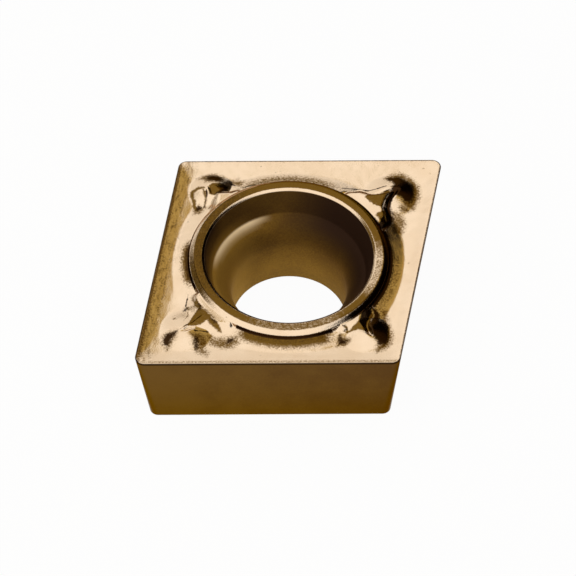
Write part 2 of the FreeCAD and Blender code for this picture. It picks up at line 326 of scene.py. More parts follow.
# %% [markdown]
# ## The body
# The real body is pressed powder, so its flanks, its seat face and its hole come out of
# one die. Here it grows from one loop of points in the same order: the loop at the cutting
# edge is extruded down along the flanks, inwards over the seat face, and up through the
# hole as a series of circles. The rhombus has an inscribed circle around the origin, so
# scaling the loop gives the same relief angle on all four flanks.

# %% Helpers for edit mode
def points_of(piece):
    """The piece's points as an array in millimetres."""
    flat = np.empty(len(piece.data.vertices) * 3)
    piece.data.vertices.foreach_get("co", flat)
    return flat.reshape(-1, 3) / MM


def place_points(piece, points):
    """Puts the piece's points at places in millimetres."""
    piece.data.vertices.foreach_set("co", np.ravel(points) * MM)
    piece.data.update()


def edge_ends(piece):
    """The numbers of the two points at the ends of each edge."""
    flat = np.empty(len(piece.data.edges) * 2, dtype=int)
    piece.data.edges.foreach_get("vertices", flat)
    return flat.reshape(-1, 2)


def pull_loop(scale=1.0, height=0.0):
    """Extrudes the selected loop, then scales it about the hole's axis and lifts it by some millimetres."""
    bpy.ops.mesh.extrude_region_move(TRANSFORM_OT_translate={"value": (0, 0, height * MM)})
    bpy.ops.transform.resize(value=(scale, scale, 1), center_override=(0, 0, 0))


# %% The loop at the cutting edge
bpy.ops.object.select_all(action="DESELECT")
bpy.ops.mesh.primitive_circle_add(vertices=COLUMNS, radius=IN_RADIUS * MM, location=(0, 0, 0))
insert = bpy.context.object
insert.name = "insert"
loop = np.zeros((COLUMNS, 3))
loop[:, :2] = edge_points
loop[:, 2] = THICKNESS - HONE
place_points(insert, loop)
print("cutting edge:", np.round(loop.min(0), 3), "to", np.round(loop.max(0), 3), "mm")


# %% [markdown]
# Two things are small but catch the light on every real insert: the flanks end in a rounded
# foot, and the seat face is one flat plane up to the hole's mouth. The foot is three short
# extrusions along an arc. The last extrusion runs inwards and is then made a circle.

# %% Flanks and seat face
def shrink(depth):
    """The scale of the outline at a depth below the cutting edge."""
    return 1 - depth * math.tan(RELIEF_ANGLE) / IN_RADIUS


bpy.ops.object.mode_set(mode="EDIT")
bpy.ops.mesh.select_mode(type="EDGE")
bpy.ops.mesh.select_all(action="SELECT")
bpy.ops.transform.resize(value=(shrink(HONE), shrink(HONE), 1), center_override=(0, 0, 0))
foot = shrink(THICKNESS - FOOT_ROUND)
pull_loop(foot / shrink(HONE), HONE + FOOT_ROUND - THICKNESS)
ROUND_STEPS = 3
arc = [math.pi / 2 * step / ROUND_STEPS for step in range(ROUND_STEPS + 1)]
insets = [FOOT_ROUND * (1 - math.cos(angle)) / IN_RADIUS for angle in arc]
falls = [FOOT_ROUND * math.sin(angle) for angle in arc]
for step in range(1, ROUND_STEPS + 1):
    pull_loop((foot - insets[step]) / (foot - insets[step - 1]), falls[step - 1] - falls[step])
pull_loop(0.62)
bpy.ops.transform.tosphere(value=1)
bpy.ops.object.mode_set(mode="OBJECT")
mouth = points_of(insert)[-COLUMNS:]
mouth_radius = np.hypot(mouth[:, 0], mouth[:, 1]).mean()
print("foot circle before it is sized:", np.round(mouth_radius, 3), "mm")

# %% [markdown]
# ## The hole
# From below, the hole has a small chamfer, a straight bore, a round seat for the head of
# the screw, a narrow ledge and a steep wall up to the rim. The seat is an arc that runs
# smoothly into the bore. Each entry of the list is one circle, so the profile can be read
# like a turned part.

# %% Circles through the hole
BORE = 1.4
MOUTH_CHAMFER = 0.05
SEAT_LOW, SEAT_HIGH, LEDGE_RADIUS = 1.16, 1.91, 1.83
SEAT_STEPS = 10
out, up = LEDGE_RADIUS - BORE, SEAT_HIGH - SEAT_LOW
seat_arc = (out**2 + up**2) / (2 * out)
circles = [(BORE + MOUTH_CHAMFER, 0.0), (BORE, MOUTH_CHAMFER), (BORE, 0.6), (BORE, SEAT_LOW)]
for step in range(1, SEAT_STEPS + 1):
    rise = up * step / SEAT_STEPS
    circles.append((BORE + seat_arc - math.sqrt(seat_arc**2 - rise**2), SEAT_LOW + rise))
circles += [(1.855, 1.915), (1.875, 1.928), (1.89, 1.955), (1.965, 2.235), (2.05, 2.53)]
circles += [(2.056, 2.545), (2.066, 2.558), (2.118, 2.587), (2.126, 2.591), (2.136, 2.592)]
circles += [(2.20, THICKNESS + CREST_HEIGHT), (CREST_RADIUS, THICKNESS + CREST_HEIGHT)]
bpy.ops.object.mode_set(mode="EDIT")
to_mouth = circles[0][0] / mouth_radius
bpy.ops.transform.resize(value=(to_mouth, to_mouth, 1), center_override=(0, 0, 0))
for (near, low), (far, high) in zip(circles, circles[1:]):
    pull_loop(far / near, high - low)
bpy.ops.object.mode_set(mode="OBJECT")
print("body so far:", len(insert.data.polygons), "faces")


# %% [markdown]
# ## The top face as a grid
# The top face lies between the crest of the bead around the hole and the cutting edge. Two
# more loops are added: a circle close outside the bead, and the cutting edge's own outline
# just inside its hone. Bridges then fill the spaces between the loops with rings. The rings
# are only the paper for the relief that follows.

# %% Two more loops
NEAR_RINGS = 16
FAR_RINGS = 72
HONE_RINGS = 2
NEAR_RADIUS = 2.55
bpy.ops.object.mode_set(mode="EDIT")
bpy.ops.mesh.select_all(action="DESELECT")
for radius in (NEAR_RADIUS, IN_RADIUS):
    bpy.ops.mesh.primitive_circle_add(vertices=COLUMNS, radius=radius * MM, location=(0, 0, THICKNESS * MM))
bpy.ops.object.mode_set(mode="OBJECT")
points = points_of(insert)
total = len(points)
crest_start, near_start, far_start = total - 3 * COLUMNS, total - 2 * COLUMNS, total - COLUMNS
angles = np.arctan2(edge_points[:, 1], edge_points[:, 0])
points[near_start:far_start, 0] = NEAR_RADIUS * np.cos(angles)
points[near_start:far_start, 1] = NEAR_RADIUS * np.sin(angles)
points[near_start:, 2] = THICKNESS
points[far_start:, :2] = edge_points * (1 - HONE / IN_RADIUS)
place_points(insert, points)
print("loops start at points", crest_start, near_start, far_start)


# %% Bridges between the loops
def bridge_loops(first, second, rings):
    """Selects two whole loops by the number of their first point, and fills the space between them."""
    chosen = np.zeros(len(insert.data.vertices), dtype=bool)
    for number in (first, second):
        chosen[number:number + COLUMNS] = True
    insert.data.vertices.foreach_set("select", chosen)
    insert.data.edges.foreach_set("select", chosen[edge_ends(insert)].all(1))
    insert.data.polygons.foreach_set("select", np.zeros(len(insert.data.polygons), dtype=bool))
    bpy.ops.object.mode_set(mode="EDIT")
    bpy.ops.mesh.bridge_edge_loops(number_cuts=rings, interpolation="LINEAR")
    bpy.ops.object.mode_set(mode="OBJECT")


bridge_loops(near_start, far_start, FAR_RINGS)
bridge_loops(crest_start, near_start, NEAR_RINGS)
bridge_loops(far_start, 0, HONE_RINGS)
bpy.ops.object.mode_set(mode="EDIT")
bpy.ops.mesh.select_all(action="SELECT")
bpy.ops.mesh.normals_make_consistent(inside=False)
bpy.ops.object.mode_set(mode="OBJECT")
triangles = sum(len(face.vertices) - 2 for face in insert.data.polygons)
print("insert:", len(insert.data.polygons), "faces,", triangles, "triangles")


# %% [markdown]
# ## The chipbreaker's relief
# A press tool squeezes the pattern into the powder, and sintering rounds it a little. The
# forms run into each other, so cutting them with separate tools would leave seams that the
# real part doesn't have. The grid is shaped the way a sculptor reads a drawing instead:
# one rule gives the height at every point, and its terms are the forms of the real face.
# These helpers give soft steps, and let two surfaces meet in a small fillet.

# %% Soft steps and fillets
def ramp(value, low, high):
    """A soft step from 0 to 1."""
    share = np.clip((value - low) / (high - low), 0, 1)
    return share * share * (3 - 2 * share)


def band(value, rise, fall):
    """A soft step up over the first pair of values, and a soft step down over the second."""
    return ramp(value, *rise) * (1 - ramp(value, *fall))


def eased(value, places, heights, width):
    """A run of straight slopes whose bends are rounded over a width."""
    total = sum(np.interp(value + width * k / 4, places, heights) for k in range(-4, 5))
    return total / 9


def higher(first, second, width):
    """The higher of two surfaces, with a fillet where they meet."""
    mix = np.clip(0.5 + (first - second) / (2 * width), 0, 1)
    return second + (first - second) * mix + width * mix * (1 - mix)


def lower(first, second, width):
    return -higher(-first, -second, width)


def clouds(x, y, size, seed):
    """Smooth noise between about -1 and 1, with patches of about one size in millimetres."""
    return np.array([noise.noise((a / size, b / size, seed)) for a, b in zip(x, y)]) * 1.6


print("soft step at a third of its way:", round(float(ramp(1 / 3, 0, 1)), 3))


# %% [markdown]
# The rake falls from the cutting edge towards the middle, so its height depends on the way
# in from the edge. Near the corners of the real face that slope turns in a wide curve. So
# the way in is found on nested rhombuses whose corners grow rounder towards the middle. There
# is no formula for it, and the range that it must lie in is halved 24 times instead.

# %% The way in from the cutting edge
HALF = CORNER_ANGLE / 2
CORNER_GROWTH = 0.55


def rhombus_distance(x, y, in_radius):
    """The distance outside a sharp rhombus, negative inside it."""
    a = np.abs(x * math.cos(HALF) + y * math.sin(HALF))
    b = np.abs(y * math.cos(HALF) - x * math.sin(HALF))
    tip_a, tip_b = in_radius / math.sin(HALF), in_radius / math.cos(HALF)
    length = np.hypot(tip_a, tip_b)
    share = np.clip(((tip_a - a) * tip_a + b * tip_b) / length**2, 0, 1)
    gap = np.hypot(a - tip_a * (1 - share), b - tip_b * share)
    return np.where(a * tip_b + b * tip_a < tip_a * tip_b, -gap, gap)


def way_in(x, y):
    """The depth of each point on the nested rhombuses."""
    low = np.full_like(x, -0.3)
    high = np.full_like(x, 2.9)
    for _ in range(24):
        middle = (low + high) / 2
        round_corner = NOSE_RADIUS + CORNER_GROWTH * np.maximum(middle, 0)
        outside = rhombus_distance(x, y, IN_RADIUS - middle - round_corner) - round_corner > 0
        high = np.where(outside, middle, high)
        low = np.where(outside, low, middle)
    return (low + high) / 2


to_bead = way_in(np.zeros(1), np.full(1, -BEAD[-2][0]))
print("way in from the front edge to the bead:", round(float(to_bead[0]), 3), "mm")


# %% [markdown]
# The wedge-shaped pads, their moats and the mounds repeat at opposite corners. Each pad
# is drawn once as an outline that points along its corner's bisector, and the distance
# from that outline gives both the wall of the pad and the slope of its moat. The press
# leaves each corner a little different. So a corner's record says how far out the flat
# facet of its pad and the middle of its mound lie and how steep the mound is, and for its
# two sides how wide the pad's wall and the moat are and how high the moat's floor lies.

# %% Outlines of the pads
def outline_distance(u, v, outline):
    """The distance outside a closed outline, negative inside it."""
    nearest = np.full_like(u, 1e9)
    inside = np.zeros(u.shape, dtype=bool)
    for (u0, v0), (u1, v1) in zip(outline, outline[1:] + outline[:1]):
        du, dv = u1 - u0, v1 - v0
        share = np.clip(((u - u0) * du + (v - v0) * dv) / (du * du + dv * dv), 0, 1)
        nearest = np.minimum(nearest, np.hypot(u - u0 - share * du, v - v0 - share * dv))
        crosses = (v0 > v) != (v1 > v)
        if dv:
            inside ^= crosses & (u < u0 + (v - v0) * du / dv)
    return np.where(inside, -nearest, nearest)


def both_sides(half):
    """A whole outline from the tip and the points on one side."""
    return half + [(-u, v) for u, v in reversed(half) if u]


def left_and_out(x, y, turn):
    """How far each point lies to the left of a direction, and how far out along it."""
    return -x * math.sin(turn) + y * math.cos(turn), x * math.cos(turn) + y * math.sin(turn)


SHARP_PAD = both_sides([(0, 3.42), (0.13, 3.13), (0.30, 2.87), (0.52, 2.75), (0.74, 2.47), (0.74, 2.2)])
BLUNT_PAD = both_sides([(0, 3.06), (0.12, 2.79), (0.33, 2.60), (0.45, 2.56), (0.60, 2.44), (0.60, 2.2)])
Corner = namedtuple("Corner", "turn pad facet mound slope walls moats floors")
CORNERS = {
    "back_right": Corner(
        math.radians(40), SHARP_PAD, facet=2.64, mound=3.28, slope=0.33,
        walls=(0.10, 0.14), moats=(0.14, 0.10), floors=(-0.03, -0.03),
    ),
    "front_left": Corner(
        math.radians(220), SHARP_PAD, facet=2.64, mound=3.28, slope=0.33,
        walls=(0.34, 0.18), moats=(0.07, 0.16), floors=(0.085, 0.04),
    ),
    "back_left": Corner(
        math.radians(130), BLUNT_PAD, facet=2.62, mound=2.92, slope=0.36,
        walls=(0.2, 0.2), moats=(0.2, 0.2), floors=(0.05, 0.05),
    ),
    "front_right": Corner(
        math.radians(310), BLUNT_PAD, facet=2.62, mound=2.92, slope=0.36,
        walls=(0.2, 0.2), moats=(0.2, 0.14), floors=(0.05, 0.0),
    ),
}
print("pads:", len(SHARP_PAD), "points in a sharp one,", len(BLUNT_PAD), "in a blunt one")


# %% [markdown]
# Now the forms themselves. The groove is a run of slopes over the way in, with a low cone
# that rises to the bead's foot. A mound is a cone with a rounded top. A pad is a flat facet
# behind a wall, and its moat is a slope that cuts the mound away around it. The noise that
# comes in everywhere is small: a pressed and coated face is never quite straight.

# %% Heights of the forms
RAKE_DEPTHS = [-1, 0.045, 0.30, 0.56, 5]
RAKE_HEIGHTS = [0, 0, -0.052, -0.081, -0.081]
CONE_FOOT, CONE_LOW, CONE_SLOPE = 2.77, -0.058, 0.27
MOUND_TOP, MOUND_CROWN = 0.085, 0.16
MOAT_RISE = 0.16
PAD_FOOT, PAD_RISE, PAD_TOP, FACET_FALL = -0.03, 0.165, 0.135, 0.02
INNER_WALL = 0.18


def groove_height(x, y, wobble, fine):
    """The rake, the floor of the groove and the cone around the bead."""
    depth = way_in(x, y)
    depth = depth + (0.022 * wobble + 0.006 * fine) * ramp(depth, 0.25, 0.5)
    height = eased(depth, RAKE_DEPTHS, RAKE_HEIGHTS, 0.06)
    cone = CONE_LOW + CONE_SLOPE * (CONE_FOOT - np.hypot(x, y) - 0.01 * wobble)
    height = higher(height, cone, 0.02)
    return height + (0.0022 * fine + 0.003 * wobble * ramp(depth, 0.3, 0.6))


def mound_height(x, y, corner, wobble):
    """The rounded cone under the tip of a pad."""
    u, v = left_and_out(x, y, corner.turn)
    away = np.hypot(u, v - corner.mound) + 0.02 * wobble
    return MOUND_TOP - corner.slope * (np.hypot(away, MOUND_CROWN) - MOUND_CROWN)


def with_pad(height, x, y, corner, wobble, fine):
    """The face with one pad added and the moat around it cut."""
    u, v = left_and_out(x, y, corner.turn)
    gap = outline_distance(u, v, corner.pad) + 0.014 * wobble + 0.007 * fine
    moat_width = np.where(u < 0, *corner.moats)
    moat = np.where(u < 0, *corner.floors) + MOAT_RISE * np.clip(gap, 0, None) / moat_width
    height = lower(height, np.where(v > 0, moat, 1.0), 0.012)
    left_wall = INNER_WALL + (corner.walls[0] - INNER_WALL) * ramp(v, 2.5, 2.65)
    width = np.where(u < 0, left_wall, corner.walls[1])
    facet = PAD_TOP - FACET_FALL * ramp(corner.facet - v, -0.05, 0.22)
    pad = np.minimum(PAD_FOOT + PAD_RISE * np.clip(-gap, -0.02, None) / width, facet)
    return np.where((v > 0) & (gap < 0.05), higher(height, pad, 0.008), height)


def relief(x, y):
    """The height of the top face in millimetres above the cutting edge."""
    wobble = clouds(x, y, 0.45, 3.1)
    fine = clouds(x, y, 0.16, 7.7)
    height = groove_height(x, y, wobble, fine)
    for corner in CORNERS.values():
        height = higher(height, mound_height(x, y, corner, wobble), 0.015)
    for corner in CORNERS.values():
        height = with_pad(height, x, y, corner, wobble, fine)
    return higher(height, np.interp(np.hypot(x, y), *zip(*BEAD)), 0.006)


on_pad = relief(np.array([2.14]), np.array([1.8]))
print("height in the middle of a sharp pad:", round(float(on_pad[0]), 3), "mm")

# %% [markdown]
# The rings near the bead are first moved to the radii where its profile bends, so that its
# bevel and its wall come out crisp. Then every point of the top face gets its height.

# %% Shape the top face
points = points_of(insert)
on_top = np.zeros(len(points), dtype=bool)
on_top[near_start:-HONE_RINGS * COLUMNS] = True
NEAR_STEPS = [
    2.285, 2.297, 2.305, 2.313, 2.33, 2.37, 2.405, 2.42,
    2.43, 2.437, 2.444, 2.452, 2.462, 2.475, 2.495, 2.52,
]
even = np.linspace(CREST_RADIUS, NEAR_RADIUS, NEAR_RINGS + 2)
r = np.hypot(points[:, 0], points[:, 1])
near = on_top & (r < NEAR_RADIUS + 0.001)
moved = np.interp(r[near], even, [CREST_RADIUS, *NEAR_STEPS, NEAR_RADIUS])
points[near, :2] *= (moved / r[near])[:, None]
points[on_top, 2] = THICKNESS + relief(points[on_top, 0], points[on_top, 1])
print("relief between", round(points[on_top, 2].min(), 3), "and", round(points[on_top, 2].max(), 3), "mm")

# %% [markdown]
# Sintering and coating round what the press left sharp. The same happens here when each
# point outside the bead moves towards the mean height of its neighbours. It is a smooth
# brush in arithmetic: a few passes take off the edges, and the forms stay.

# %% Round the relief
ROUNDING_PASSES = 5
KEPT_SHARE = 0.4
ends = edge_ends(insert)
both = np.concatenate([ends, ends[:, ::-1]])
count = np.bincount(both[:, 0], minlength=len(points))
soft = on_top & (r > 2.5)
for _ in range(ROUNDING_PASSES):
    total = np.bincount(both[:, 0], weights=points[both[:, 1], 2], minlength=len(points))
    points[soft, 2] = (KEPT_SHARE * points[:, 2] + (1 - KEPT_SHARE) * total / count)[soft]
print("after rounding:", round(points[on_top, 2].min(), 3), "to", round(points[on_top, 2].max(), 3), "mm")

# %% [markdown]
# A cutting edge is honed, because a perfectly sharp one would chip. The rings of the last
# bridge are laid on a quarter circle, so that thin round edge gets its own highlight.

# %% Hone the cutting edge
hone = np.arange(len(points)) >= len(points) - HONE_RINGS * COLUMNS
fall = THICKNESS - points[hone, 2]
hone_turn = math.pi / 2 * fall / HONE
reach = 1 - HONE * (1 - np.sin(hone_turn)) / IN_RADIUS
old = 1 - (HONE - fall) / IN_RADIUS
points[hone, :2] *= (reach / old)[:, None]
points[hone, 2] = THICKNESS - HONE * (1 - np.cos(hone_turn))
place_points(insert, points)
print("honed points:", int(hone.sum()))

# %% [markdown]
# ## Where the coating is pale and where it is dark
# The top of the insert is a pale golden tan. Many of its dark tones in the photograph are
# reflections, and the lamps and the relief give most of them. The rest are painted reflection
# and painted shade in the colour, drawn as a retoucher would: outlines beside the pads,
# measured to the left of a corner's bisector and out along it. Each patch is brown or dark,
# has a soft border of some width, and grows past its outline. Thin creases of painted shade
# are open lines.

# %% Painted patches and lines of reflection and shade
# Brown and dark patches of painted reflection and painted shade beside the pads.
PAINTED_PATCHES = {
    "back_right": [
        ("brown", 0.02, 0, [
            (-0.27, 2.77), (-0.15, 2.9), (-0.05, 3.05), (0.06, 3.33), (0.12, 3.25), (0.22, 2.95),
            (0.27, 2.75), (0.26, 2.64), (0.04, 2.63), (-0.15, 2.68),
        ]),
        ("brown", 0.03, 0, [(-0.75, 2.45), (-0.67, 2.67), (-0.35, 2.75), (-0.33, 2.55), (-0.35, 2.47)]),
        ("brown", 0.03, 0, [(0.45, 2.73), (0.56, 2.7), (0.72, 2.5), (0.66, 2.45), (0.5, 2.57)]),
        ("dark", 0.07, 0, [
            (-0.5, 3.46), (-0.42, 3.66), (-0.2, 3.79), (0.1, 3.84), (0.3, 3.79), (0.42, 3.6),
            (0.44, 3.5), (0.36, 3.48), (0.27, 3.54), (0.15, 3.49), (0.07, 3.29), (-0.05, 3.09),
            (-0.25, 2.92), (-0.55, 2.86), (-0.67, 2.66), (-0.73, 2.46), (-0.8, 2.52), (-0.65, 2.82),
            (-0.45, 2.95), (-0.3, 3.0), (-0.17, 3.12), (-0.1, 3.27), (-0.24, 3.36), (-0.4, 3.34),
        ]),
        ("brown", 0.1, 0.05, [
            (-0.68, 3.4), (-0.5, 3.74), (-0.2, 3.94), (0.05, 3.97), (0.3, 3.9), (0.45, 3.7),
            (0.46, 3.5), (0.1, 3.6), (-0.3, 3.4), (-0.5, 3.3),
        ]),
        ("brown", 0.12, 0, [
            (-1.12, 2.7), (-0.9, 2.98), (-0.7, 3.06), (-0.5, 3.02), (-0.4, 2.92), (-0.6, 2.8),
            (-0.8, 2.55), (-1.0, 2.5),
        ]),
        ("brown", 0.1, -0.04, [
            (-0.75, 3.25), (-0.7, 3.4), (-0.5, 3.35), (-0.35, 3.25), (-0.42, 3.1), (-0.6, 3.05),
        ]),
    ],
    "front_left": [
        ("brown", 0.02, 0, [
            (-0.04, 3.22), (-0.14, 3.0), (-0.24, 2.8), (-0.24, 2.63), (0.05, 2.6), (0.22, 2.62),
            (0.2, 2.75), (0.15, 2.94), (0.03, 3.16),
        ]),
        ("brown", 0.03, 0, [
            (0.12, 2.64), (0.2, 2.77), (0.38, 2.75), (0.54, 2.74), (0.62, 2.66), (0.42, 2.6),
        ]),
        ("dark", 0.07, -0.02, [(0.16, 2.62), (0.2, 2.72), (0.4, 2.68), (0.42, 2.6)]),
        ("brown", 0.05, -0.01, [(-0.4, 2.62), (0.3, 2.63), (0.3, 2.56), (-0.35, 2.55)]),
        ("dark", 0.09, -0.01, [
            (-0.06, 3.45), (-0.15, 3.58), (-0.22, 3.72), (-0.16, 3.88), (0, 3.98), (0.1, 3.96),
            (0.04, 3.8), (-0.02, 3.6),
        ]),
        ("brown", 0.14, 0, [
            (-0.08, 3.45), (-0.22, 3.6), (-0.26, 3.8), (-0.12, 3.96), (0.2, 4.02), (0.12, 3.8),
            (0.02, 3.6),
        ]),
        ("brown", 0.09, 0.02, [
            (0.2, 3.3), (0.45, 3.36), (0.7, 3.3), (0.62, 3.12), (0.45, 3.05), (0.3, 3.14),
        ]),
        ("dark", 0.09, -0.02, [
            (0.28, 3.22), (0.34, 3.34), (0.52, 3.46), (0.64, 3.5), (0.6, 3.36), (0.5, 3.26),
            (0.38, 3.2),
        ]),
        ("brown", 0.16, -0.03, [
            (0.24, 3.2), (0.4, 3.45), (0.7, 3.56), (0.98, 3.42), (0.9, 3.26), (0.6, 3.2), (0.42, 3.05),
        ]),
        ("brown", 0.14, 0.02, [
            (0.46, 2.98), (0.7, 3.1), (0.95, 2.98), (1.12, 2.75), (1.12, 2.55), (0.95, 2.45),
            (0.84, 2.62), (0.68, 2.84), (0.52, 2.9),
        ]),
        ("dark", 0.09, -0.02, [(0.82, 2.68), (0.94, 2.8), (1.02, 2.6), (0.94, 2.5)]),
        ("dark", 0.06, -0.01, [(-0.6, 2.8), (-0.52, 2.94), (-0.44, 2.88), (-0.5, 2.78)]),
        ("brown", 0.05, -0.01, [(-0.5, 3.26), (-0.44, 3.34), (-0.38, 3.26), (-0.44, 3.22)]),
    ],
    "back_left": [
        ("brown", 0.03, 0, [
            (-0.4, 2.74), (-0.3, 2.95), (-0.15, 3.05), (-0.02, 3.03), (0.1, 2.9), (0.16, 2.84),
            (0.06, 2.71), (-0.3, 2.67),
        ]),
        ("dark", 0.05, 0, [(-0.4, 2.76), (-0.3, 2.78), (0.05, 2.75), (0.05, 2.71), (-0.3, 2.67)]),
        ("dark", 0.1, -0.02, [
            (-0.44, 2.96), (-0.5, 3.1), (-0.38, 3.3), (-0.2, 3.38), (-0.12, 3.3), (-0.1, 3.2),
            (-0.22, 3.08), (-0.26, 2.98),
        ]),
        ("brown", 0.1, 0, [
            (-0.46, 2.94), (-0.54, 3.1), (-0.42, 3.3), (-0.22, 3.42), (0.02, 3.45), (-0.06, 3.32),
            (-0.02, 3.2), (-0.2, 3.05), (-0.3, 2.94),
        ]),
        ("brown", 0.14, -0.01, [(-0.6, 2.5), (-0.84, 2.62), (-0.74, 2.84), (-0.5, 2.92), (-0.52, 2.7)]),
        ("dark", 0.06, 0, [(0.5, 2.68), (0.55, 2.78), (0.66, 2.74), (0.64, 2.64)]),
        ("brown", 0.1, 0, [(0.46, 2.6), (0.5, 2.8), (0.7, 2.8), (0.82, 2.66), (0.68, 2.54)]),
    ],
    "front_right": [
        ("brown", 0.03, 0, [
            (-0.36, 2.6), (-0.12, 2.74), (-0.02, 2.9), (0.1, 3.0), (0.3, 2.7), (0.5, 2.6), (0.5, 2.42),
            (0.36, 2.44), (0.3, 2.57),
        ]),
        ("dark", 0.08, 0, [
            (0, 3.36), (0.12, 3.46), (0.28, 3.42), (0.42, 3.22), (0.48, 2.98), (0.52, 2.8),
            (0.62, 2.7), (0.64, 2.45), (0.72, 2.2), (0.56, 2.28), (0.54, 2.5), (0.46, 2.62),
            (0.34, 2.66), (0.2, 2.78), (0.1, 2.92), (0.02, 3.08),
        ]),
        ("brown", 0.12, 0.03, [
            (-0.18, 3.5), (0, 3.56), (0.25, 3.54), (0.46, 3.32), (0.62, 2.98), (0.82, 2.66),
            (0.72, 2.6), (0.6, 2.8), (0.4, 2.9), (0.1, 3.3), (-0.05, 3.36),
        ]),
        ("dark", 0.08, -0.02, [
            (-0.74, 2.72), (-0.6, 2.82), (-0.46, 2.78), (-0.54, 2.66), (-0.54, 2.52), (-0.64, 2.6),
        ]),
        ("brown", 0.07, 0.02, [
            (-0.8, 2.74), (-0.62, 2.86), (-0.42, 2.8), (-0.5, 2.66), (-0.52, 2.52), (-0.66, 2.6),
        ]),
    ],
}
# Thin lines of painted shade in the creases beside the pads, dark and a few brown.
LINES = {
    "back_right": [
        ("dark", 0.035, 0.07, [
            (-0.74, 2.42), (-0.61, 2.72), (-0.34, 2.87), (-0.17, 3.04), (-0.04, 3.3),
        ]),
        ("dark", 0.018, 0.012, [
            (0.23, 3.3), (0.33, 3.12), (0.45, 2.94), (0.63, 2.84), (0.73, 2.7), (0.9, 2.5),
        ]),
    ],
    "front_left": [
        ("dark", 0.02, 0.012, [(-0.05, 3.2), (-0.055, 3.4), (-0.07, 3.55)]),
        ("dark", 0.025, 0.02, [(0.2, 3.16), (0.28, 3.02), (0.38, 2.9)]),
        ("brown", 0.02, 0.014, [(-0.2, 3.17), (-0.3, 2.96), (-0.42, 2.86)]),
        ("dark", 0.02, 0.012, [(-0.57, 2.8), (-0.68, 2.68), (-0.8, 2.52)]),
    ],
    "back_left": [
        ("dark", 0.02, 0.015, [(-0.5, 2.82), (-0.56, 2.68), (-0.62, 2.5), (-0.8, 2.41), (-1.1, 2.24)]),
        ("brown", 0.04, 0.045, [
            (0.12, 3.08), (0.22, 3.18), (0.4, 3.2), (0.48, 3.08), (0.54, 2.95), (0.62, 2.84),
            (0.66, 2.7),
        ]),
        ("brown", 0.04, 0.03, [(0.14, 3.1), (0.2, 2.95), (0.3, 2.78), (0.45, 2.66), (0.6, 2.6)]),
        ("dark", 0.018, 0.012, [(0.1, 3.0), (0.2, 2.86), (0.34, 2.74), (0.5, 2.64)]),
    ],
    "front_right": [
        ("brown", 0.02, 0.02, [(-0.42, 2.52), (-0.36, 2.6), (-0.3, 2.52), (-0.36, 2.43)]),
    ],
}
print("drawn:", sum(map(len, PAINTED_PATCHES.values())), "areas and", sum(map(len, LINES.values())), "lines")


# %% [markdown]
# Each painted tone, brown or dark, is a share between 0 and 1 at every point, and where
# patches overlap the higher share counts. Patches of painted reflection and shade around the
# ring are sectors between two directions. A little noise makes the drawn borders uneven.

# %% Painting around the ring and in the corners
FIRM_BROWN, SOFT_BROWN = 0.92, 0.78
SOFT_BORDER = 0.06
CORNERS_FROM = 1.8
RING_OUTSIDE = 2.45


def sector(azimuth, middle, reach, soft):
    """A share of 1 around a direction, which fades over some degrees up to its reach."""
    return ramp(reach - np.abs((azimuth - middle + 180) % 360 - 180), 0, soft)


def towards(azimuth, middle):
    """1 for points that lie in a direction, 0 for those square to it, and -1 for those behind."""
    return np.cos(np.radians(azimuth - middle))


def drawn_gap(u, v, outline, wobble):
    """The distance from an outline with an uneven border, and a large one away from its corner."""
    near = v > CORNERS_FROM
    gap = np.full_like(u, 9.0)
    gap[near] = outline_distance(u[near], v[near], outline) + wobble[near]
    return gap


def drawn_patches(x, y, wobble):
    """The brown and dark shares of the painted reflection and shade drawn beside the pads."""
    shares = {"brown": np.zeros_like(x), "dark": np.zeros_like(x)}
    for name, corner in CORNERS.items():
        u, v = left_and_out(x, y, corner.turn)
        there_and_back = [(*finish, line + line[-2:0:-1]) for *finish, line in LINES[name]]
        for kind, soft, growth, outline in PAINTED_PATCHES[name] + there_and_back:
            painted = ramp(growth - drawn_gap(u, v, outline, wobble), -soft, soft)
            if kind == "brown":
                painted *= SOFT_BROWN if soft > SOFT_BORDER else FIRM_BROWN
            shares[kind] = np.maximum(shares[kind], painted)
    return shares["brown"], shares["dark"]


def foot_line(x, y, r, azimuth, wobble):
    """A painted shadow line in the crease at the foot of the ring, wider at the right and left out under the
    pads.
    """
    right = ramp(towards(azimuth, -15), 0.55, 0.85)
    line = band(r, (2.422, 2.432), (2.458 + 0.05 * right, 2.475 + 0.10 * right))
    for corner in CORNERS.values():
        gap = drawn_gap(*left_and_out(x, y, corner.turn), corner.pad, wobble)
        line = np.where(gap < 0.03, 0.0, line)
    return line


def ring_patches(r, azimuth, wobble):
    """The brown and dark shares of painted reflection and shade in front, at the left, behind and at the
    right of the ring.
    """
    outside = r > RING_OUTSIDE
    # Painted brown shade behind the ring and at its right, and painted dark reflection on its bevel at the
    # right.
    behind = 0.66 * sector(azimuth, 90, 36, 18) * (1 - ramp(r, 2.58, 2.86)) * outside
    beside = 0.45 * sector(azimuth, -18, 30, 10) * (1 - ramp(r, 2.64, 2.84)) * outside
    brown = np.maximum(behind, beside)
    dark = 0.97 * sector(azimuth, -12, 48, 12) * band(r, (2.31, 2.34), (2.45, 2.48))
    for middle, reach, outer, darkness in ((-93, 32, 2.70, 0.3), (182, 21, 2.63, 0.75)):
        patch = ramp(outer + wobble - r, -0.12, 0.15) * sector(azimuth, middle, reach, 12) * outside
        brown = np.maximum(brown, patch)
        dark = np.maximum(dark, darkness * patch * ramp(outer - 0.06 - r, -0.03, 0.08))
    return brown, dark


print("share 15 degrees inside a sector:", round(float(sector(0, 15, 30, 20)), 3))


# %% [markdown]
# Thin dark lines of painted shade run along the cutting edges, and a brown band of painted
# shade along the front one. The rake at the left is painted brown as shade, with fine streaks
# along its edge, which are noise that is stretched in that direction. A few specks lie
# everywhere.

# %% Along the cutting edges
STREAK_ALONG, STREAK_ACROSS = 0.3, 1.3


